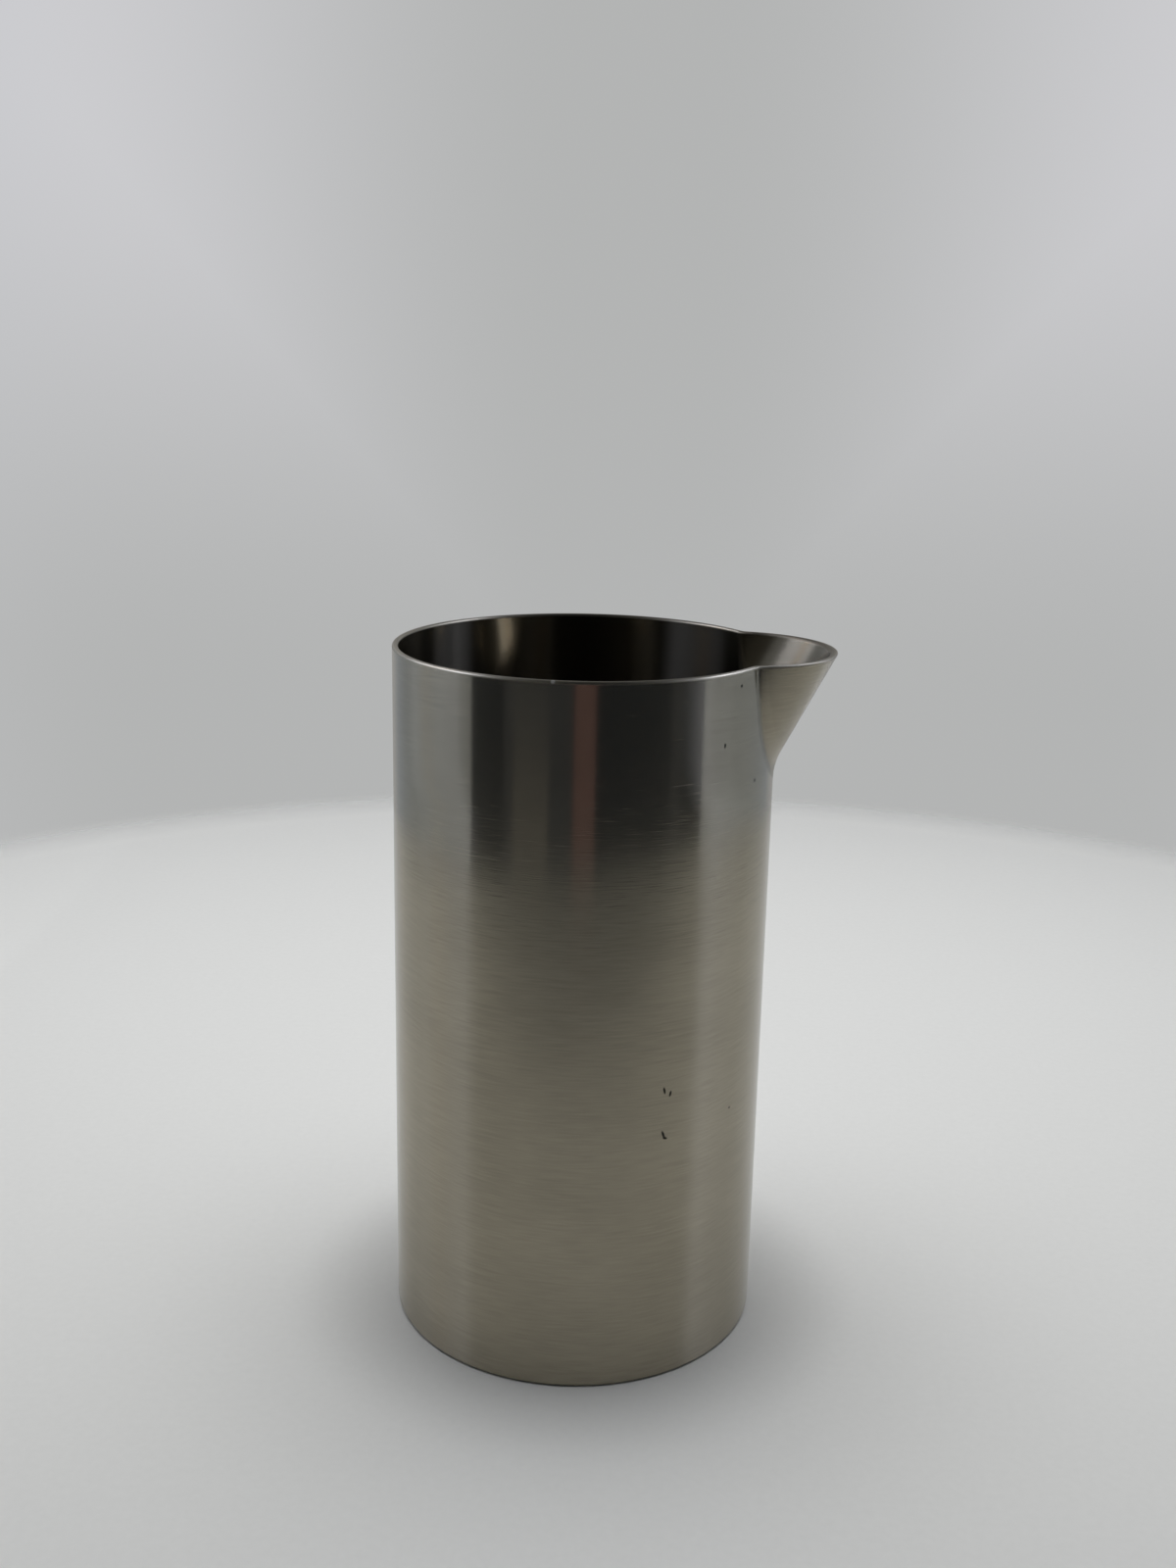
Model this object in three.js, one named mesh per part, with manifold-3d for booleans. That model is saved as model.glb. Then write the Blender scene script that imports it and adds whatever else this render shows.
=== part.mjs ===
// Cream jug in brushed stainless steel.
// A straight tube stands on a flat base disc, and a round spout leans out of a notch in its rim.
// Units are millimetres. The origin is the middle of the underside, +Z is up and the spout points along +X.
import * as THREE from 'three';
import { mergeGeometries, mergeVertices } from 'three/addons/utils/BufferGeometryUtils.js';
import Module from 'manifold-3d';

// Driving dimensions of the tube
const tubeDiameter = 50;
const jugHeight = 93.2;
const wallThickness = 0.8;
const rimEdgeRadius = 0.3;
const footEdgeRadius = 0.5;

// Driving dimensions of the spout, which is made of sheet as thick as the tube's wall
const spoutReach = 7.7; // past the tube's outer face, at the rim
const spoutNoseRadius = 13; // outer face, in a level section
const spoutLean = 27.3; // degrees from the vertical

// The dressed weld round the spout is a hollow fillet. Where its edges lie, the plain spout is this far
// inside and outside the tube's outer face. The weld is fuller at the foot of the spout than at the rim.
const spoutWeldRiseAtRim = 0.5;
const spoutWeldRiseAtFoot = 0.95;

// Driving dimensions of the base
const baseThickness = 1;
const baseEdgeRadius = 0.25;
const baseWeldLeg = 1.5;

// Clearances
const notchGap = 0.3; // between the notch in the tube and the weld that fills it
const weldGap = 0.05; // between a weld and the other pieces that it joins
const baseGap = 0.1; // between the disc's edge and the tube
const toolMargin = 1; // by which the tool that cuts the notch stands out of the tube's wall

// Fineness of the round stretches
const turnSteps = 72;
const edgeSteps = 4;
const spoutRows = 14;
const spoutColumns = 14;
const spoutWeldColumns = 5;

// Colours and finishes
const brushedSteel = { color: 0xa6a39b, roughness: 0.34, metalness: 1 };
const brightWeld = { color: 0xb1aea6, roughness: 0.3, metalness: 1 };
const plainSteel = { color: 0x8f8d87, roughness: 0.45, metalness: 1 };
const paleWeld = { color: 0x9b9994, roughness: 0.5, metalness: 1 };

// Values that follow from the driving dimensions
const quarterTurn = Math.PI / 2;
const tubeRadius = tubeDiameter / 2;
const boreRadius = tubeRadius - wallThickness;
const rimRadius = Math.min(rimEdgeRadius, wallThickness / 2);
const footRadius = Math.min(footEdgeRadius, wallThickness);
const leanSlope = Math.tan(THREE.MathUtils.degToRad(spoutLean));
const noseCentre = tubeRadius + spoutReach - spoutNoseRadius;
const spoutDepth = spoutReach / leanSlope;

const wasm = await Module();
wasm.setup();

// Bare closed mesh: shared corners merged, and triangles that shrank to a line left out
function closedMesh(geometry) {
  const bare = geometry.clone();
  bare.deleteAttribute('normal');
  bare.deleteAttribute('uv');
  const merged = mergeVertices(bare);
  const corners = merged.index.array;
  const kept = [];
  for (let i = 0; i < corners.length; i += 3) {
    const [a, b, c] = corners.slice(i, i + 3);
    if (a !== b && b !== c && c !== a) kept.push(a, b, c);
  }
  merged.setIndex(kept);
  return merged;
}

function cut(geometry, tool) {
  const [body, cutter] = [geometry, tool].map((piece) => {
    const vertProperties = new Float32Array(piece.attributes.position.array);
    const triVerts = new Uint32Array(piece.index.array);
    return new wasm.Manifold(new wasm.Mesh({ numProp: 3, vertProperties, triVerts }));
  });
  const { vertProperties, triVerts } = body.subtract(cutter).getMesh();
  const result = new THREE.BufferGeometry();
  result.setAttribute('position', new THREE.BufferAttribute(vertProperties, 3));
  result.setIndex(new THREE.BufferAttribute(triVerts, 1));
  return result;
}

// Solid of revolution about Z, from a closed profile of radius against height.
// An arc of the profile gets twice the divisions that are asked for.
function turned(profile) {
  const points = profile.getPoints(edgeSteps / 2);
  points.push(points[0].clone());
  const geometry = new THREE.LatheGeometry(points, turnSteps);
  geometry.rotateX(quarterTurn);
  return closedMesh(geometry);
}

// A level section of the plain spout is a circle, whose centre moves back to the tube as the depth grows.
// Depths are measured down from the rim, and angles about the tube's axis from the spout's middle.
function noseCentreAt(depth) {
  return noseCentre - leanSlope * depth;
}

// How far the plain spout stands out of the tube's outer face
function plainRise(angle, depth) {
  const centre = noseCentreAt(depth);
  const root = spoutNoseRadius ** 2 - (centre * Math.sin(angle)) ** 2;
  const radius = root > 0 ? centre * Math.cos(angle) + Math.sqrt(root) : 0;
  return radius - tubeRadius;
}

function weldRiseAt(depth) {
  const share = Math.max(0, 1 - depth / spoutDepth);
  return THREE.MathUtils.lerp(spoutWeldRiseAtFoot, spoutWeldRiseAtRim, share);
}

// Outer radius of tube, weld and spout together. The weld is a parabola that meets both at a tangent.
function outerRadius(angle, depth) {
  const rise = plainRise(angle, depth);
  const weldRise = weldRiseAt(depth);
  if (rise >= weldRise) return tubeRadius + rise;
  if (rise <= -weldRise) return tubeRadius;
  return tubeRadius + (rise + weldRise) ** 2 / (4 * weldRise);
}

function outerPoint(angle, depth) {
  const radius = outerRadius(angle, depth);
  return new THREE.Vector3(radius * Math.cos(angle), radius * Math.sin(angle), -depth);
}

// Point in the wall, moved in from the outer face.
// The inset is measured square to the face, and the move is level.
function wallPoint(angle, depth, inset) {
  const probe = 0.001;
  const along = outerPoint(angle + probe, depth).sub(outerPoint(angle - probe, depth));
  const up = outerPoint(angle, depth - probe).sub(outerPoint(angle, depth + probe));
  const normal = along.cross(up).normalize();
  const level = new THREE.Vector3(normal.x, normal.y, 0);
  return outerPoint(angle, depth).addScaledVector(level, -inset / level.lengthSq());
}

// Angle at which the plain spout passes through a circle about the tube's axis
function seamAngle(radius, depth) {
  const centre = noseCentreAt(depth);
  const cosine = (radius ** 2 + centre ** 2 - spoutNoseRadius ** 2) / (2 * radius * centre);
  return Math.acos(Math.min(1, cosine));
}

// Edges run from the rim down to the middle of the spout's foot, and the weld lies between these two.
const tubeEdge = {
  fullDepth: (spoutReach + spoutWeldRiseAtFoot) / leanSlope,
  angleAt: (depth) => seamAngle(tubeRadius - weldRiseAt(depth), depth),
};
const spoutEdge = {
  fullDepth: (spoutReach - spoutWeldRiseAtFoot) / leanSlope,
  angleAt: (depth) => seamAngle(tubeRadius + spoutWeldRiseAtFoot, depth),
};

function middleOf(edge) {
  return { fullDepth: edge.fullDepth, angleAt: () => 0 };
}

// The same edge, moved away from the spout by a gap
function widened(edge, gap) {
  const fullDepth = edge.fullDepth + gap;
  const spread = 1 + gap / (tubeRadius * edge.angleAt(0));
  return { fullDepth, angleAt: (depth) => spread * edge.angleAt((depth * edge.fullDepth) / fullDepth) };
}

// Rows of a wall's outer face, from the foot of the spout to the rim
function outerFaceRows(topRows) {
  const rows = [];
  for (let i = spoutRows; i > 0; i--) {
    const share = Math.sin((i / spoutRows) * quarterTurn);
    rows.push({ depthIn: (fullDepth) => fullDepth * share, inset: 0 });
  }
  return [...rows, ...topRows];
}

function roundedRim() {
  return Array.from({ length: edgeSteps + 1 }, (_, i) => {
    const turn = (i / edgeSteps) * quarterTurn;
    const depth = rimRadius * (1 - Math.sin(turn));
    return { depthIn: () => depth, inset: rimRadius * (1 - Math.cos(turn)) };
  });
}

// Wall between two edges and their mirror images.
// Its rows climb the outer face and come down the inner one.
function mirroredWall({ outerRows, thickness, columns, firstEdge, lastEdge, closesFirst, place }) {
  const innerRows = outerRows.map((row) => ({ ...row, inset: thickness - row.inset })).reverse();
  const rows = [...outerRows, ...innerRows];
  const points = rows.flatMap(({ depthIn, inset }) => {
    const ends = [firstEdge, lastEdge].map((edge) => {
      const depth = depthIn(edge.fullDepth);
      return { depth, angle: edge.angleAt(depth) };
    });
    return Array.from({ length: columns + 1 }, (_, column) => {
      const share = column / columns;
      const angle = THREE.MathUtils.lerp(ends[0].angle, ends[1].angle, share);
      return place(angle, THREE.MathUtils.lerp(ends[0].depth, ends[1].depth, share), inset);
    });
  });

  const corner = (row, column) => row * (columns + 1) + column;
  const triangles = [];
  const addQuad = (a, b, c, d) => triangles.push(a, b, c, a, c, d);
  for (let row = 0; row + 1 < rows.length; row++) {
    for (let column = 0; column < columns; column++) {
      const [a, b] = [corner(row, column), corner(row, column + 1)];
      const [c, d] = [corner(row + 1, column + 1), corner(row + 1, column)];
      addQuad(a, b, c, d);
    }
  }
  const across = (row, column) => corner(rows.length - 1 - row, column);
  for (let row = 0; row + 1 < outerRows.length; row++) {
    addQuad(corner(row, columns), across(row, columns), across(row + 1, columns), corner(row + 1, columns));
    if (closesFirst) addQuad(corner(row, 0), corner(row + 1, 0), across(row + 1, 0), across(row, 0));
  }

  const half = new THREE.BufferGeometry().setFromPoints(points);
  half.setIndex(triangles);
  const mirrored = half.clone().scale(1, -1, 1);
  mirrored.setIndex([...triangles].reverse());
  return closedMesh(mergeGeometries([half, mirrored]));
}

function tubeProfile() {
  const profile = new THREE.Path();
  profile.moveTo(boreRadius, 0);
  profile.lineTo(tubeRadius - footRadius, 0);
  profile.absarc(tubeRadius - footRadius, footRadius, footRadius, -quarterTurn, 0);
  profile.absarc(tubeRadius - rimRadius, jugHeight - rimRadius, rimRadius, 0, quarterTurn);
  profile.absarc(boreRadius + rimRadius, jugHeight - rimRadius, rimRadius, quarterTurn, 2 * quarterTurn);
  return profile;
}

// The notch has radial sides. The tool that cuts it reaches past both faces of the wall and past the rim.
function notchTool() {
  const toolRadius = tubeRadius + toolMargin;
  return mirroredWall({
    outerRows: outerFaceRows([{ depthIn: () => -toolMargin, inset: 0 }]),
    thickness: wallThickness + 2 * toolMargin,
    columns: spoutColumns,
    firstEdge: middleOf(widened(tubeEdge, notchGap)),
    lastEdge: widened(tubeEdge, notchGap),
    closesFirst: false,
    place: (angle, depth, inset) => {
      const radius = toolRadius - inset;
      return new THREE.Vector3(radius * Math.cos(angle), radius * Math.sin(angle), jugHeight - depth);
    },
  });
}

function spoutShell() {
  return mirroredWall({
    outerRows: outerFaceRows(roundedRim()),
    thickness: wallThickness,
    columns: spoutColumns,
    firstEdge: middleOf(spoutEdge),
    lastEdge: spoutEdge,
    closesFirst: false,
    place: wallPoint,
  });
}

function spoutWeldRibbon() {
  return mirroredWall({
    outerRows: outerFaceRows(roundedRim()),
    thickness: wallThickness,
    columns: spoutWeldColumns,
    firstEdge: widened(spoutEdge, weldGap),
    lastEdge: tubeEdge,
    closesFirst: true,
    place: wallPoint,
  });
}

function baseProfile() {
  const radius = boreRadius - baseGap;
  const edge = Math.min(baseEdgeRadius, baseThickness);
  const profile = new THREE.Path();
  profile.moveTo(0, 0);
  profile.lineTo(radius - edge, 0);
  profile.absarc(radius - edge, edge, edge, -quarterTurn, 0);
  profile.lineTo(radius, baseThickness);
  profile.lineTo(0, baseThickness);
  return profile;
}

// Hollow fillet in the corner between the disc and the tube, drawn from the disc's upper face
function baseWeldProfile() {
  const radius = boreRadius - weldGap;
  const profile = new THREE.Path();
  profile.moveTo(radius - baseWeldLeg, 0);
  profile.lineTo(radius, 0);
  profile.lineTo(radius, baseWeldLeg);
  profile.absarc(radius - baseWeldLeg, baseWeldLeg, baseWeldLeg, 0, -quarterTurn, true);
  return profile;
}

function piece(name, geometry, finish) {
  geometry.computeVertexNormals();
  const mesh = new THREE.Mesh(geometry, new THREE.MeshStandardMaterial(finish));
  mesh.name = name;
  return mesh;
}

const spoutGroup = new THREE.Group();
spoutGroup.position.z = jugHeight;
spoutGroup.add(piece('spout', spoutShell(), brushedSteel));
spoutGroup.add(piece('spout_weld', spoutWeldRibbon(), brightWeld));

const baseWeld = piece('base_weld', turned(baseWeldProfile()), paleWeld);
baseWeld.position.z = baseThickness + weldGap;
const baseGroup = new THREE.Group();
baseGroup.add(piece('base_disc', turned(baseProfile()), plainSteel));
baseGroup.add(baseWeld);

const creamJug = new THREE.Group();
creamJug.name = 'cream_jug';
creamJug.add(piece('body_tube', cut(turned(tubeProfile()), notchTool()), brushedSteel));
creamJug.add(spoutGroup);
creamJug.add(baseGroup);

export default creamJug;
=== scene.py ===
import math

import bpy
import numpy as np
from mathutils import Matrix, Vector


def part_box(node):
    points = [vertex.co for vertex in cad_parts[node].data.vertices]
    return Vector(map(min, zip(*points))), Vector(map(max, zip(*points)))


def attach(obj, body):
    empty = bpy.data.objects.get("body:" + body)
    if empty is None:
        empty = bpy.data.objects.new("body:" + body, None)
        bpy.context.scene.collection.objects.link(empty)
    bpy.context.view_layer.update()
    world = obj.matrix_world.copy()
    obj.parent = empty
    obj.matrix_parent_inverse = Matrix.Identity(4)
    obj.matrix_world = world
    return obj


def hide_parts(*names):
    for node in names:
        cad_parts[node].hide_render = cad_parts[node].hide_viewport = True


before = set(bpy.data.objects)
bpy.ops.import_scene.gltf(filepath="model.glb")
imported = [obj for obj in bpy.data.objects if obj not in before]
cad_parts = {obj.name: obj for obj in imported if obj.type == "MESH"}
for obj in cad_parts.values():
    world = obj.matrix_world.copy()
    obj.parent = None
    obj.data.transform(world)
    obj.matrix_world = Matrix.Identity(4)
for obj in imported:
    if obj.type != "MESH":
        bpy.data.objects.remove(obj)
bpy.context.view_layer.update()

MM = 0.001
QUARTER_TURN = math.pi / 2

# Sizes of the jug, from the frame where it holds them
TUBE_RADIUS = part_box("body_tube")[1].y
JUG_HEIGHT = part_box("body_tube")[1].z
BASE_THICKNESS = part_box("base_disc")[1].z
WALL = 0.8 * MM
RIM_EDGE = 0.3 * MM
FOOT_EDGE = 0.5 * MM
BASE_EDGE = 0.25 * MM
BASE_WELD_LEG = 1.5 * MM
BORE_RADIUS = TUBE_RADIUS - WALL

# The plain spout is a leaning round trough, and the weld round it a hollow fillet.
# Where the weld's edges lie, the plain spout is this far inside and outside the tube's outer face.
SPOUT_REACH = 7.7 * MM
SPOUT_NOSE_RADIUS = 13 * MM
SPOUT_LEAN = math.radians(27.3)
WELD_RISE_AT_RIM = 0.5 * MM
WELD_RISE_AT_FOOT = 0.95 * MM
LEAN_SLOPE = math.tan(SPOUT_LEAN)
NOSE_CENTRE = TUBE_RADIUS + SPOUT_REACH - SPOUT_NOSE_RADIUS
SPOUT_DEPTH = SPOUT_REACH / LEAN_SLOPE

# Fineness of the meshes
TURN_STEPS = 288
TUBE_ROWS = 12
SPOUT_ROWS = 44
SPOUT_COLUMNS = 96
WELD_COLUMNS = 14
EDGE_STEPS = 8
DISC_STEPS = 12
MERGE_STEP = 0.00001 * MM
PROBE = 0.001 * MM


# Shape of tube, weld and spout together, by angle about the tube's axis and depth below the rim

def nose_centre_at(depth):
    return np.maximum(0, NOSE_CENTRE - LEAN_SLOPE * depth)


def plain_rise(angle, depth):
    """How far the plain spout stands out of the tube's outer face."""
    centre = nose_centre_at(depth)
    root = SPOUT_NOSE_RADIUS ** 2 - (centre * np.sin(angle)) ** 2
    reach = centre * np.cos(angle) + np.sqrt(np.maximum(root, 0))
    return np.where(root > 0, reach, 0) - TUBE_RADIUS


def weld_rise_at(depth):
    share = np.maximum(0, 1 - depth / SPOUT_DEPTH)
    return WELD_RISE_AT_FOOT + (WELD_RISE_AT_RIM - WELD_RISE_AT_FOOT) * share


def outer_point(angle, depth):
    """Point on the outer face. The weld is a parabola that meets tube and spout at a tangent."""
    rise = plain_rise(angle, depth)
    weld = weld_rise_at(depth)
    fillet = (rise + weld) ** 2 / (4 * weld)
    proud = np.where(rise >= weld, rise, np.where(rise <= -weld, 0, fillet))
    radius = TUBE_RADIUS + proud
    return np.stack([radius * np.cos(angle), radius * np.sin(angle), JUG_HEIGHT - depth], -1)


def unit(vectors):
    return vectors / np.linalg.norm(vectors, axis=-1, keepdims=True)


def outer_normal(angle, depth):
    turn = PROBE / TUBE_RADIUS
    along = outer_point(angle + turn, depth) - outer_point(angle - turn, depth)
    up = outer_point(angle, depth - PROBE) - outer_point(angle, depth + PROBE)
    return unit(np.cross(along, up))


def wall_grid(angle, depth, inset, tilt):
    """Points and normals in the wall. The inset is square to the outer face, and the move is level.
    The tilt turns a normal from the outer face's, at 0, through up, to the inner face's, at half a turn."""
    normal = outer_normal(angle, depth)
    level = normal * (1, 1, 0)
    step = inset / (level ** 2).sum(-1)
    points = outer_point(angle, depth) - level * step[..., None]
    turned = np.cos(tilt)[..., None] * normal + np.sin(tilt)[..., None] * np.array((0, 0, 1))
    return points, unit(turned)


def seam_angle(radius, depth):
    """Angle at which the plain spout passes through a circle about the tube's axis."""
    centre = nose_centre_at(depth)
    cosine = (radius ** 2 + centre ** 2 - SPOUT_NOSE_RADIUS ** 2) / (2 * radius * centre)
    return np.arccos(np.minimum(1, cosine))


# The weld lies between these two edges, which run from the rim down to the middle of the spout's foot.
TUBE_EDGE_DEPTH = (SPOUT_REACH + WELD_RISE_AT_FOOT) / LEAN_SLOPE
SPOUT_EDGE_DEPTH = (SPOUT_REACH - WELD_RISE_AT_FOOT) / LEAN_SLOPE


def tube_edge_angle(depth):
    return seam_angle(TUBE_RADIUS - weld_rise_at(depth), depth)


def spout_edge_angle(depth):
    return seam_angle(TUBE_RADIUS + WELD_RISE_AT_FOOT, depth)


# Rows of a wall, from the foot of the spout up the outer face, over the rim and down the inner face.
# Each has the share of the spout's full depth, a depth past that, an inset and a tilt.

def rim_rows():
    rows = []
    for i in range(2 * EDGE_STEPS + 1):
        tilt = QUARTER_TURN * i / EDGE_STEPS
        depth = RIM_EDGE * (1 - math.sin(tilt))
        outside = RIM_EDGE * (1 - math.cos(tilt))
        inside = WALL - RIM_EDGE * (1 + math.cos(tilt))
        if i <= EDGE_STEPS:
            rows.append((0, depth, outside, tilt))
        if i >= EDGE_STEPS:
            rows.append((0, depth, inside, tilt))
    return rows


def spout_rows():
    shares = [math.sin(QUARTER_TURN * i / SPOUT_ROWS) for i in range(SPOUT_ROWS, 0, -1)]
    outer = [(share, 0, 0, 0) for share in shares if share * SPOUT_EDGE_DEPTH > RIM_EDGE]
    inner = [(share, 0, WALL, math.pi) for share, *_ in reversed(outer)]
    return outer + rim_rows() + inner


def row_arrays(rows, full_depth, columns):
    """Depth, inset and tilt of each point of a grid, as arrays with a row for each row of the wall."""
    share, depth, inset, tilt = (np.array(values, float)[:, None] for values in zip(*rows))
    across = np.ones((1, columns))
    return (share * full_depth + depth) * across, inset * across, tilt * across


# Grids: points, normals and a map whose first coordinate runs along the grain

def path_length(points):
    """Distance along the rows, from the first one."""
    steps = np.linalg.norm(np.diff(points, axis=0), axis=-1)
    start = np.zeros((1, points.shape[1]))
    return np.concatenate([start, np.cumsum(steps, axis=0)])


def grid(angle, points, normals):
    return points, normals, np.stack([angle * TUBE_RADIUS, path_length(points)], -1)


def side_wall(points, flips):
    """Flat wall across the sheet, along one edge of a grid.
    The grid's rows climb one face of the sheet and come down the other."""
    half = len(points) // 2
    near = points[:half]
    far = points[::-1][:half]
    pair = np.stack([far, near] if flips else [near, far], 1)
    up = np.gradient(pair[:, 0], axis=0)
    across = pair[:, 1] - pair[:, 0]
    normals = np.repeat(unit(np.cross(across, up))[:, None], 2, axis=1)
    return pair, normals, pair[..., :2]


def merged_mesh(name, grids):
    """One mesh of all grids, with shared corners merged and its own normals kept."""
    corners = np.concatenate([g[0].reshape(-1, 3) for g in grids])
    keys = np.round(corners / MERGE_STEP).astype(np.int64)
    _, first, index = np.unique(keys, axis=0, return_index=True, return_inverse=True)
    index = index.ravel()
    faces, normals, places = [], [], []
    start = 0
    for points, normal, place in grids:
        rows, columns = points.shape[:2]
        normal = normal.reshape(-1, 3)
        place = place.reshape(-1, 2)
        for row in range(rows - 1):
            for column in range(columns - 1):
                here = row * columns + column
                quad = (here, here + 1, here + 1 + columns, here + columns)
                kept = {int(index[start + corner]): corner for corner in quad}
                if len(kept) < 3:
                    continue
                faces.append(list(kept))
                normals.extend(normal[corner] for corner in kept.values())
                places.extend(place[corner] for corner in kept.values())
        start += rows * columns
    mesh = bpy.data.meshes.new(name)
    mesh.from_pydata(corners[first].tolist(), [], faces, shade_flat=False)
    layer = mesh.uv_layers.new(name="grain", do_init=False)
    layer.uv.foreach_set("vector", np.array(places, np.float32).ravel())
    mesh.normals_split_custom_set(np.array(normals, np.float32).tolist())
    return mesh


def add_piece(name, grids, cad_node, material):
    piece = bpy.data.objects.new(name, merged_mesh(name, grids))
    bpy.context.scene.collection.objects.link(piece)
    piece.data.materials.append(material)
    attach(piece, "root")
    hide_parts(cad_node)
    return piece


# Pieces of the jug

def tube_grids():
    """The tube, with columns that spread from one side of the notch round to the other."""
    notch = spout_rows()
    lowest = JUG_HEIGHT - FOOT_EDGE
    foot = []
    for i in range(EDGE_STEPS + 1):
        tilt = QUARTER_TURN * (i / EDGE_STEPS - 1)
        foot.append((0, lowest - FOOT_EDGE * math.sin(tilt), FOOT_EDGE * (1 - math.cos(tilt)), tilt))
    heights = [lowest + (TUBE_EDGE_DEPTH - lowest) * i / TUBE_ROWS for i in range(1, TUBE_ROWS)]
    outer = [(0, depth, 0, 0) for depth in heights]
    inner = [(0, depth, WALL, math.pi) for depth in reversed(heights)]
    inner.append((0, JUG_HEIGHT, WALL, math.pi))
    ring = [(0, JUG_HEIGHT, WALL, -QUARTER_TURN), (0, JUG_HEIGHT, FOOT_EDGE, -QUARTER_TURN)]
    rows = foot + outer + notch + inner + ring
    depth, inset, tilt = row_arrays(rows, TUBE_EDGE_DEPTH, TURN_STEPS + 1)
    edge = np.where(depth < TUBE_EDGE_DEPTH, tube_edge_angle(np.minimum(depth, TUBE_EDGE_DEPTH)), 0)
    angle = edge + (2 * math.pi - 2 * edge) * np.linspace(0, 1, TURN_STEPS + 1)
    points, normals = wall_grid(angle, depth, inset, tilt)
    first = len(foot) + len(outer)
    sides = points[first:first + len(notch)]
    return [
        grid(angle, points, normals),
        side_wall(sides[:, 0], True),
        side_wall(sides[:, -1], False),
    ]


def spout_grids():
    depth, inset, tilt = row_arrays(spout_rows(), SPOUT_EDGE_DEPTH, SPOUT_COLUMNS + 1)
    angle = spout_edge_angle(depth) * np.linspace(-1, 1, SPOUT_COLUMNS + 1)
    points, normals = wall_grid(angle, depth, inset, tilt)
    return [
        grid(angle, points, normals),
        side_wall(points[:, 0], True),
        side_wall(points[:, -1], False),
    ]


def weld_grids():
    """Both halves of the ribbon between the spout's edge and the tube's."""
    rows = spout_rows()
    near, inset, tilt = row_arrays(rows, SPOUT_EDGE_DEPTH, WELD_COLUMNS + 1)
    far, _, _ = row_arrays(rows, TUBE_EDGE_DEPTH, WELD_COLUMNS + 1)
    grids = []
    for side in (1, -1):
        share = np.linspace(0, 1, WELD_COLUMNS + 1)[::side]
        depth = near + (far - near) * share
        angle = side * (spout_edge_angle(near) + (tube_edge_angle(far) - spout_edge_angle(near)) * share)
        points, normals = wall_grid(angle, depth, inset, tilt)
        grids.append(grid(angle, points, normals))
        grids.append(side_wall(points[:, 0], True))
        grids.append(side_wall(points[:, -1], False))
    return grids


def turned_grid(profile):
    """Grid of revolution from (radius, height, normal's tilt above level) along a profile."""
    angle = np.linspace(0, 2 * math.pi, TURN_STEPS + 1)[None, :]
    radius, height, tilt = (np.array(values)[:, None] for values in zip(*profile))
    flat = np.ones_like(angle)
    points = np.stack([radius * np.cos(angle), radius * np.sin(angle), height * flat], -1)
    out = np.cos(tilt)
    normals = np.stack([out * np.cos(angle), out * np.sin(angle), np.sin(tilt) * flat], -1)
    return grid(angle * np.ones_like(radius), points, normals)


def base_grids():
    radius = BORE_RADIUS
    profile = [(radius * i / DISC_STEPS, 0, -QUARTER_TURN) for i in range(DISC_STEPS)]
    for i in range(EDGE_STEPS + 1):
        tilt = QUARTER_TURN * (i / EDGE_STEPS - 1)
        out = radius - BASE_EDGE * (1 - math.cos(tilt))
        profile.append((out, BASE_EDGE * (1 + math.sin(tilt)), tilt))
    profile.append((radius, BASE_THICKNESS, 0))
    profile += [(radius * i / DISC_STEPS, BASE_THICKNESS, QUARTER_TURN) for i in range(DISC_STEPS, -1, -1)]
    return [turned_grid(profile)]


def base_weld_grids():
    """Hollow fillet in the corner between the disc and the tube."""
    inner = BORE_RADIUS - BASE_WELD_LEG
    top = BASE_THICKNESS + BASE_WELD_LEG
    profile = [
        (inner, BASE_THICKNESS, -QUARTER_TURN),
        (BORE_RADIUS, BASE_THICKNESS, -QUARTER_TURN),
        (BORE_RADIUS, BASE_THICKNESS, 0),
        (BORE_RADIUS, top, 0),
    ]
    for i in range(EDGE_STEPS + 1):
        turn = QUARTER_TURN * i / EDGE_STEPS
        radius = inner + BASE_WELD_LEG * math.cos(turn)
        profile.append((radius, top - BASE_WELD_LEG * math.sin(turn), math.pi - turn))
    return [turned_grid(profile)]


# Node helpers

# The mix node keeps sockets for every type of data. These are the ones for colours.
COLOUR_MIX_INPUTS = (0, 6, 7)
COLOUR_MIX_RESULT = 2


def set_inputs(tree, target, inputs):
    """Sets each input of a node, by a link where its value is another node's output."""
    for key, value in inputs.items():
        if isinstance(value, bpy.types.NodeSocket):
            tree.links.new(value, target.inputs[key])
        else:
            target.inputs[key].default_value = value


def node(tree, kind, inputs=None, **settings):
    made = tree.nodes.new(kind)
    for name, value in settings.items():
        setattr(made, name, value)
    set_inputs(tree, made, inputs or {})
    return made


def calculate(tree, operation, *values):
    return node(tree, "ShaderNodeMath", dict(enumerate(values)), operation=operation).outputs[0]


def vectors(tree, operation, *values):
    return node(tree, "ShaderNodeVectorMath", dict(enumerate(values)), operation=operation).outputs


def ramp(tree, value, low, high, at_low=0.0, at_high=1.0):
    """Smooth step of a value, from at_low to at_high."""
    inputs = {"Value": value, "From Min": low, "From Max": high, "To Min": at_low, "To Max": at_high}
    made = node(tree, "ShaderNodeMapRange", inputs, interpolation_type="SMOOTHSTEP")
    return made.outputs["Result"]


def mix_colours(tree, share, first, second):
    """Mix of two colours, each of them a node's output or three numbers."""
    made = node(tree, "ShaderNodeMix", data_type="RGBA")
    factor, colour_a, colour_b = (made.inputs[index] for index in COLOUR_MIX_INPUTS)
    tree.links.new(share, factor)
    for socket, colour in ((colour_a, first), (colour_b, second)):
        if isinstance(colour, bpy.types.NodeSocket):
            tree.links.new(colour, socket)
        else:
            socket.default_value = (*colour, 1)
    return made.outputs[COLOUR_MIX_RESULT]


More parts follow.
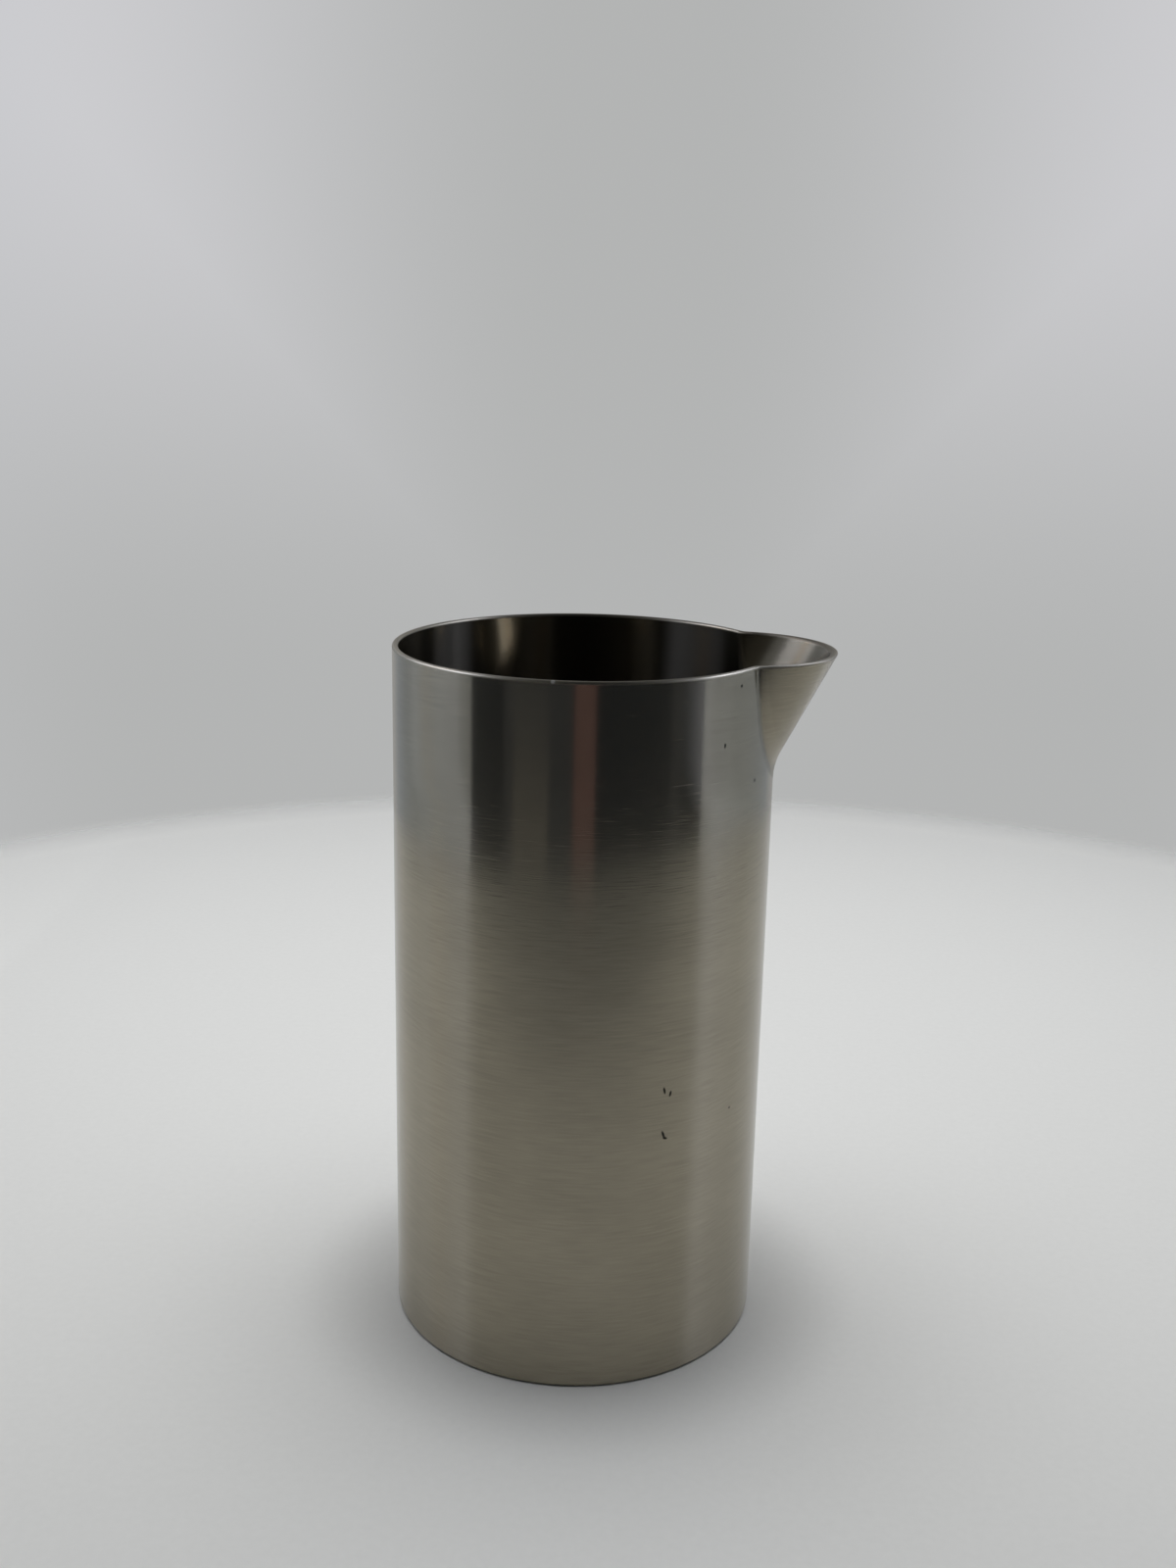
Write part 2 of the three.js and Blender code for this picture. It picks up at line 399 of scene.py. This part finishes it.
def noise(tree, place, per_metre, stretch=(1, 1, 1), detail=2.0):
    """Noise with this many cells a metre, drawn out by a stretch along each axis."""
    shrink = tuple(1 / length for length in stretch)
    drawn = vectors(tree, "MULTIPLY", place, shrink)[0]
    inputs = {"Vector": drawn, "Scale": per_metre, "Detail": detail}
    return node(tree, "ShaderNodeTexNoise", inputs).outputs["Fac"]


# Steel

# Darker and lighter tone of each steel
STEEL_COLOURS = ((0.285, 0.258, 0.2), (0.355, 0.322, 0.249))
BASE_COLOURS = ((0.30, 0.29, 0.26), (0.34, 0.33, 0.30))
BODY_ROUGHNESS = 0.12
SPOUT_ROUGHNESS = 0.24
BASE_ROUGHNESS = 0.3
ROUGHNESS_SWING = 0.02
# The rim's rounded edge is rougher by this much, which fades in between two depths below its top.
RIM_ROUGHNESS = 0.3
RIM_ROUGH_DEPTHS = (1.4 * RIM_EDGE, 0.8 * RIM_EDGE)
MIRROR_ANISOTROPY = 0.5
# The mirror part is drawn out across the grain, so its tangent is turned by a quarter.
MIRROR_ROTATION = 0.25

# Grain: cells a metre across the lines, how far the lines are drawn out, and how deep they are
LINES_PER_METRE = 7500
LINE_STRETCH = 30
LINE_DEPTH = 0.014 * MM
LINE_WANDER = 0.8 * MM
WANDERS_PER_METRE = 35
PATCHES_PER_METRE = 60
PATCH_STRETCH = (1, 1, 0.6)
PATCH_DETAIL = 3.0
# The tone follows the lines by this share, and the patches by the rest.
LINE_SHARE = 0.6
TONE_RANGE = (0.3, 0.7)

# Part of the light is scattered up and down by the grain.
HAZE_OUTSIDE = 0.21
HAZE_INSIDE = 0.1
HAZE_ROUGHNESS = 0.304
HAZE_ANISOTROPY = 0.842

# Painted shade inside the jug: the inner faces are darkened towards this colour, by these shares of their
# colour.
INSIDE_PAINTED_SHADE_COLOUR = (0.045, 0.03, 0.01)
BODY_INSIDE_PAINTED_SHADE = 0.25
SPOUT_INSIDE_PAINTED_SHADE = 0.5

# Small dark marks on the tube: turn about the axis, height, half width, half height and slant.
# Turn and slant are in degrees.
MARKS = (
    (-62.75, 40.95 * MM, 0.16 * MM, 0.5 * MM, 12),
    (-60.77, 40.38 * MM, 0.16 * MM, 0.42 * MM, -14),
    (-62.7, 34.95 * MM, 0.17 * MM, 0.55 * MM, 20),
    (-62.1, 34.4 * MM, 0.36 * MM, 0.17 * MM, -20),
    (-36.19, 35.31 * MM, 0.17 * MM, 0.17 * MM, 0),
    (-39.49, 91.35 * MM, 0.2 * MM, 0.2 * MM, 0),
    (-45.68, 84.37 * MM, 0.17 * MM, 0.3 * MM, 0),
    (-30.0, 78.77 * MM, 0.2 * MM, 0.25 * MM, 0),
)
MARK_COLOUR = (0.02, 0.019, 0.017)
# One nick on the rim, in the same terms, coloured near-white as a painted highlight that stands in for its
# glint
NICK_GLINTS = ((-97.24, JUG_HEIGHT, 0.28 * MM, 0.34 * MM, 0),)
NICK_GLINT_COLOUR = (0.95, 0.93, 0.86)
# A mark fades in between these shares of its half width and half height.
MARK_FADE = (1.3, 0.6)


def with_marks_and_glints(tree, place, colour, marks, mark_colour):
    """The colour, with small oval marks on the tube's outer face: dark marks, and a nick's painted
    highlight.
    """
    for turn, height, half_width, half_height, slant in marks:
        angle = math.radians(turn)
        inputs = {
            "Vector": place,
            "Location": (TUBE_RADIUS * math.cos(angle), TUBE_RADIUS * math.sin(angle), height),
            "Rotation": (math.radians(slant), 0, angle),
            "Scale": (WALL / 2, half_width, half_height),
        }
        local = node(tree, "ShaderNodeMapping", inputs, vector_type="TEXTURE").outputs[0]
        reach = vectors(tree, "LENGTH", local)["Value"]
        colour = mix_colours(tree, ramp(tree, reach, *MARK_FADE), colour, mark_colour)
    return colour


def grain_lines(tree, place):
    """Noise drawn out into level lines that wander a little up and down."""
    wander = calculate(tree, "SUBTRACT", noise(tree, place, WANDERS_PER_METRE), 0.5)
    lift = calculate(tree, "MULTIPLY", wander, LINE_WANDER)
    shift = node(tree, "ShaderNodeCombineXYZ", {"Z": lift}).outputs[0]
    wavy = vectors(tree, "ADD", place, shift)[0]
    return noise(tree, wavy, LINES_PER_METRE, (LINE_STRETCH, LINE_STRETCH, 1))


def grain_normal(tree, lines):
    """The height is the cube of the lines about their mean.
    So most of it is nearly flat, and a few lines are steep."""
    swing = calculate(tree, "MULTIPLY_ADD", lines, 2.0, -1.0)
    height = calculate(tree, "POWER", swing, 3.0)
    bump = node(tree, "ShaderNodeBump", {"Height": height, "Strength": 1.0, "Distance": LINE_DEPTH})
    return bump.outputs["Normal"]


def grain_tone(tree, place, lines):
    patches = noise(tree, place, PATCHES_PER_METRE, PATCH_STRETCH, PATCH_DETAIL)
    from_lines = calculate(tree, "MULTIPLY", lines, LINE_SHARE)
    from_patches = calculate(tree, "MULTIPLY", patches, 1 - LINE_SHARE)
    return calculate(tree, "ADD", from_lines, from_patches)


def steel_roughness(tree, place, tone, roughness):
    """Smoother where the tone is light, and rougher on the rounded rim."""
    swing = (roughness + ROUGHNESS_SWING, roughness - ROUGHNESS_SWING)
    height = node(tree, "ShaderNodeSeparateXYZ", {0: place}).outputs["Z"]
    low, high = (JUG_HEIGHT - depth for depth in RIM_ROUGH_DEPTHS)
    rim = ramp(tree, height, low, high, 0.0, RIM_ROUGHNESS)
    return calculate(tree, "ADD", ramp(tree, tone, *TONE_RANGE, *swing), rim)


def by_side(tree, place, inside, outside):
    """One value on faces that look to the tube's axis, and another on faces that look away from it."""
    facing = node(tree, "ShaderNodeNewGeometry").outputs["Normal"]
    level = vectors(tree, "MULTIPLY", place, (1, 1, 0))[0]
    outward = vectors(tree, "DOT_PRODUCT", facing, level)["Value"]
    return ramp(tree, outward, -MM, MM, inside, outside)


def brushed_steel(name, colours, roughness, inside_painted_shade=0.0, marked=False):
    """Steel with a fine level grain: a mirror part, and a haze that the grain scatters up and down."""
    material = bpy.data.materials.new(name)
    material.use_nodes = True
    tree = material.node_tree
    place = node(tree, "ShaderNodeTexCoord").outputs["Object"]
    lines = grain_lines(tree, place)
    tone = grain_tone(tree, place, lines)
    colour = mix_colours(tree, ramp(tree, tone, *TONE_RANGE), *colours)
    # Painted shade on the faces that look to the tube's axis
    if inside_painted_shade:
        colour = mix_colours(tree, by_side(tree, place, inside_painted_shade, 0.0), colour, INSIDE_PAINTED_SHADE_COLOUR)
    if marked:
        colour = with_marks_and_glints(tree, place, colour, MARKS, MARK_COLOUR)
        # Painted highlight of the nick on the rim
        colour = with_marks_and_glints(tree, place, colour, NICK_GLINTS, NICK_GLINT_COLOUR)
    along_grain = node(tree, "ShaderNodeTangent", direction_type="UV_MAP", uv_map="grain").outputs[0]

    mirror = tree.nodes["Principled BSDF"]
    set_inputs(tree, mirror, {
        "Base Color": colour,
        "Metallic": 1.0,
        "Roughness": steel_roughness(tree, place, tone, roughness),
        "Normal": grain_normal(tree, lines),
        "Tangent": along_grain,
        "Anisotropic": MIRROR_ANISOTROPY,
        "Anisotropic Rotation": MIRROR_ROTATION,
    })
    haze = node(tree, "ShaderNodeBsdfAnisotropic", {
        "Color": colour,
        "Roughness": HAZE_ROUGHNESS,
        "Anisotropy": HAZE_ANISOTROPY,
        "Tangent": along_grain,
    }, distribution="GGX")
    share = by_side(tree, place, HAZE_INSIDE, HAZE_OUTSIDE)
    both = node(tree, "ShaderNodeMixShader", {0: share, 1: mirror.outputs[0], 2: haze.outputs[0]})
    tree.links.new(both.outputs[0], tree.nodes["Material Output"].inputs["Surface"])
    return material


# Turntable under the jug, whose far edge fades out of focus in the photograph
TABLE_RADIUS = 251 * MM
TABLE_FADE = 13 * MM
TABLE_PLACE = Vector((10.9, 11.3, 0)) * MM
TABLE_WHITES = ((0.765, 0.765, 0.745), (0.805, 0.805, 0.785))
TABLE_SPECKS_PER_METRE = 900
TABLE_ROUGHNESS = 0.8
TABLE_SHINE = 0.2
# Painted shade: towards the camera it grows darker, between these two places along Y.
TABLE_LIT_FROM = -90 * MM
TABLE_SHADED_FROM = -190 * MM
TABLE_SHADED_WHITE = (0.6, 0.6, 0.59)
# Painted contact shadow: round the jug's foot it is darkened, as far out as this from the jug's axis, for
# camera rays only.
CONTACT_REACH = 42 * MM
CONTACT_SHADE = 0.25
CONTACT_SHADOW_COLOUR = (0.03, 0.03, 0.03)


def table_colour_with_painted_shade(tree, place):
    speckle = noise(tree, place, TABLE_SPECKS_PER_METRE)
    white = mix_colours(tree, speckle, *TABLE_WHITES)
    # Painted shade, darker towards the camera
    along = node(tree, "ShaderNodeSeparateXYZ", {0: place}).outputs["Y"]
    shaded = ramp(tree, along, TABLE_LIT_FROM, TABLE_SHADED_FROM)
    white = mix_colours(tree, shaded, white, TABLE_SHADED_WHITE)
    # Painted contact shadow round the jug's foot, seen by camera rays only
    from_jug = vectors(tree, "DISTANCE", place, -TABLE_PLACE)["Value"]
    seen = node(tree, "ShaderNodeLightPath").outputs["Is Camera Ray"]
    near = ramp(tree, from_jug, CONTACT_REACH, TUBE_RADIUS, 0.0, CONTACT_SHADE)
    return mix_colours(tree, calculate(tree, "MULTIPLY", near, seen), white, CONTACT_SHADOW_COLOUR)


def table_material():
    """Matt off-white with painted shade towards the camera and a painted shadow round the jug's foot, which
    fades out at the table's edge.
    """
    material = bpy.data.materials.new("turntable_white")
    material.use_nodes = True
    tree = material.node_tree
    place = node(tree, "ShaderNodeTexCoord").outputs["Object"]
    shader = tree.nodes["Principled BSDF"]
    set_inputs(tree, shader, {
        "Base Color": table_colour_with_painted_shade(tree, place),
        "Roughness": TABLE_ROUGHNESS,
        "Specular IOR Level": TABLE_SHINE,
    })
    reach = vectors(tree, "LENGTH", place)["Value"]
    share = ramp(tree, reach, TABLE_RADIUS - TABLE_FADE, TABLE_RADIUS + TABLE_FADE)
    clear = node(tree, "ShaderNodeBsdfTransparent").outputs[0]
    faded = node(tree, "ShaderNodeMixShader", {0: share, 1: shader.outputs[0], 2: clear})
    tree.links.new(faded.outputs[0], tree.nodes["Material Output"].inputs["Surface"])
    return material


def add_table():
    angle = np.linspace(0, 2 * math.pi, TURN_STEPS, endpoint=False)
    reach = TABLE_RADIUS + TABLE_FADE
    rim = np.stack([reach * np.cos(angle), reach * np.sin(angle), 0 * angle], -1)
    mesh = bpy.data.meshes.new("turntable")
    mesh.from_pydata(rim.tolist(), [], [list(range(TURN_STEPS))])
    mesh.materials.append(table_material())
    table = bpy.data.objects.new("turntable", mesh)
    table.location = TABLE_PLACE
    bpy.context.scene.collection.objects.link(table)


# World

# Directions round the jug are in degrees: a turn from the front towards +X, and a height above level.
# The opening in front of the jug is an arch, which narrows above level.
OPENING_SIDES = (-67.3, 75)
OPENING_SOFTNESS = 1.2
ARCH_SLOPE = 0.75

# The dim room in front, and its lighter upper part at the left
DIM_ROOM = (0.010, 0.0135, 0.020)
UPPER_ROOM = (0.09, 0.09, 0.085)
UPPER_ROOM_HEIGHTS = (-1, 7)
UPPER_ROOM_TURNS = (-10, -30)
# Things in the dim room: the turns between which they stand, their top, and their light
DIM_BARS = (
    (-45.5, -4.5, 0, (0.044, 0.049, 0.060)),
    (-40, -19, -14.5, (0.14, 0.138, 0.135)),
    (-4.2, 8.3, 0, (0.15, 0.090, 0.09)),
    (53, 59.5, 0, (0.038, 0.042, 0.052)),
    (71, 75, 0, (0.022, 0.026, 0.032)),
)
BAR_SOFTNESS = 1.5
BAR_TOP_SOFTNESS = 3

# The pale walls, and the angles between which each takes over from the one before
WALL_IN_FRONT = (0.365, 0.40, 0.455)
WALL_BESIDE = (0.415, 0.46, 0.525)
WALL_BEHIND = (0.61, 0.61, 0.63)
WALL_BEHIND_JUG = (0.452, 0.458, 0.456)
ROOF = (0.06, 0.06, 0.06)
BESIDE_TURNS = (80, 96)
BEHIND_TURNS = (140, 164)
BEHIND_JUG_TURNS = (160, 178)
BEHIND_JUG_HEIGHTS = (9, -12)
ROOF_HEIGHTS = (22, 48)


def degree_ramp(tree, value, low, high):
    return ramp(tree, value, math.radians(low), math.radians(high))


def between(tree, value, low, high, softness):
    """One where a value lies between two angles, and zero elsewhere."""
    above = degree_ramp(tree, value, low - softness, low + softness)
    below = degree_ramp(tree, value, high + softness, high - softness)
    return calculate(tree, "MULTIPLY", above, below)


def dim_room(tree, turn, height):
    high = degree_ramp(tree, height, *UPPER_ROOM_HEIGHTS)
    left = degree_ramp(tree, turn, *UPPER_ROOM_TURNS)
    light = mix_colours(tree, calculate(tree, "MULTIPLY", high, left), DIM_ROOM, UPPER_ROOM)
    for start, end, top, colour in DIM_BARS:
        low = degree_ramp(tree, height, top + BAR_TOP_SOFTNESS, top - BAR_TOP_SOFTNESS)
        share = calculate(tree, "MULTIPLY", between(tree, turn, start, end, BAR_SOFTNESS), low)
        light = mix_colours(tree, share, light, colour)
    return light


def pale_walls(tree, turn, height):
    aside = calculate(tree, "ABSOLUTE", turn)
    beside = degree_ramp(tree, aside, *BESIDE_TURNS)
    walls = mix_colours(tree, beside, WALL_IN_FRONT, WALL_BESIDE)
    behind = degree_ramp(tree, aside, *BEHIND_TURNS)
    walls = mix_colours(tree, behind, walls, WALL_BEHIND)
    to_middle = degree_ramp(tree, aside, *BEHIND_JUG_TURNS)
    to_floor = degree_ramp(tree, height, *BEHIND_JUG_HEIGHTS)
    plain = calculate(tree, "MULTIPLY", behind, calculate(tree, "MAXIMUM", to_middle, to_floor))
    walls = mix_colours(tree, plain, walls, WALL_BEHIND_JUG)
    return mix_colours(tree, degree_ramp(tree, height, *ROOF_HEIGHTS), walls, ROOF)


def outside_opening(tree, turn, height):
    """Zero in the opening, and one on the walls round it."""
    start, end = OPENING_SIDES
    half = (end - start) / 2
    off_middle = calculate(tree, "ABSOLUTE", calculate(tree, "SUBTRACT", turn, math.radians(start + half)))
    above_level = calculate(tree, "MAXIMUM", height, 0.0)
    off = calculate(tree, "ADD", off_middle, calculate(tree, "MULTIPLY", above_level, ARCH_SLOPE))
    return degree_ramp(tree, off, half - OPENING_SOFTNESS, half + OPENING_SOFTNESS)


def add_world():
    """Pale walls round the jug, with an opening to a dim room in front that shows only in the steel."""
    world = bpy.data.worlds.new("light_tent")
    bpy.context.scene.world = world
    world.use_nodes = True
    tree = world.node_tree
    direction = node(tree, "ShaderNodeTexCoord").outputs["Generated"]
    parts = node(tree, "ShaderNodeSeparateXYZ", {0: direction}).outputs
    front = calculate(tree, "MULTIPLY", parts["Y"], -1.0)
    turn = calculate(tree, "ARCTAN2", parts["X"], front)
    height = calculate(tree, "ARCSINE", parts["Z"])
    seen = node(tree, "ShaderNodeLightPath").outputs["Is Camera Ray"]
    closed = calculate(tree, "MAXIMUM", outside_opening(tree, turn, height), seen)
    light = mix_colours(tree, closed, dim_room(tree, turn, height), pale_walls(tree, turn, height))
    tree.links.new(light, tree.nodes["Background"].inputs["Color"])


# Lamps and camera

# Two lamps overhead light the table, and don't show in the steel: name, place, size, power and spread
LAMPS = (
    ("overhead_lamp", Vector((0, 0.11, 0.42)), (0.6, 0.44), 0.61, math.radians(80)),
    ("middle_lamp", Vector((0, 0.07, 0.42)), (0.24, 0.1), 0.12, math.radians(120)),
)
# Cards high on the side walls show only in the steel: name, distance towards +X, the turns and heights
# between which they lie as seen from the middle of the rim, radiance and colour
COOL = (0.84, 0.92, 1.2)
WARM = (1.15, 0.92, 0.7)
CARDS = (
    ("left_front_card", -0.27, (74.5, 104), (30, 44), 10.5, COOL),
    ("left_strip", -0.27, (106, 111), (31, 42), 12, WARM),
    ("left_back_card", -0.27, (113, 126), (30, 44), 13, COOL),
    ("right_card", 0.27, (87, 122), (30, 44), 11, COOL),
    ("right_strip", 0.265, (96, 103), (31, 42), 11, COOL),
)

# Camera of the photograph
CAMERA_PLACE = Vector((4.81, -211.94, 131.10)) * MM
CAMERA_TURN = math.radians(1.117)
CAMERA_PITCH = math.radians(14.981)
CAMERA_ROLL = math.radians(1.185)
CAMERA_LENS = 37.96
CAMERA_SENSOR = 36


def area_lamp(name, place, size, power, spread):
    data = bpy.data.lights.new(name, "AREA")
    data.shape = "RECTANGLE"
    data.size, data.size_y = size
    data.energy = power
    data.spread = spread
    lamp = bpy.data.objects.new(name, data)
    lamp.location = place
    bpy.context.scene.collection.objects.link(lamp)
    return lamp


def add_card(name, aside, turns, heights, radiance, colour):
    distance = abs(aside)
    front, back = (-distance / math.tan(math.radians(angle)) for angle in turns)
    low, high = (JUG_HEIGHT + distance * math.tan(math.radians(angle)) for angle in heights)
    width = back - front
    tall = high - low
    place = Vector((aside, (front + back) / 2, (low + high) / 2))
    card = area_lamp(name, place, (width, tall), radiance * math.pi * width * tall, math.pi)
    card.rotation_euler = (QUARTER_TURN, 0, math.copysign(QUARTER_TURN, aside))
    card.data.color = colour
    card.visible_diffuse = False
    card.visible_camera = False


def add_lamps():
    for settings in LAMPS:
        area_lamp(*settings).visible_glossy = False
    for settings in CARDS:
        add_card(*settings)


def add_camera():
    data = bpy.data.cameras.new("camera")
    data.lens = CAMERA_LENS
    data.sensor_width = CAMERA_SENSOR
    camera = bpy.data.objects.new("camera", data)
    turn = Matrix.Rotation(CAMERA_TURN, 4, "Z")
    pitch = Matrix.Rotation(QUARTER_TURN - CAMERA_PITCH, 4, "X")
    roll = Matrix.Rotation(CAMERA_ROLL, 4, "Z")
    camera.matrix_world = Matrix.Translation(CAMERA_PLACE) @ turn @ pitch @ roll
    bpy.context.scene.collection.objects.link(camera)
    bpy.context.scene.camera = camera


# Everything in its place

body_steel = brushed_steel("body_steel", STEEL_COLOURS, BODY_ROUGHNESS, BODY_INSIDE_PAINTED_SHADE, marked=True)
spout_steel = brushed_steel("spout_steel", STEEL_COLOURS, SPOUT_ROUGHNESS, SPOUT_INSIDE_PAINTED_SHADE)
base_steel = brushed_steel("base_steel", BASE_COLOURS, BASE_ROUGHNESS)

add_piece("jug_body", tube_grids(), "body_tube", body_steel)
add_piece("jug_spout", spout_grids(), "spout", spout_steel)
add_piece("jug_spout_weld", weld_grids(), "spout_weld", spout_steel)
add_piece("jug_base", base_grids(), "base_disc", base_steel)
add_piece("jug_base_weld", base_weld_grids(), "base_weld", base_steel)

add_table()
add_world()
add_lamps()
add_camera()
bpy.context.scene.view_settings.view_transform = "Standard"
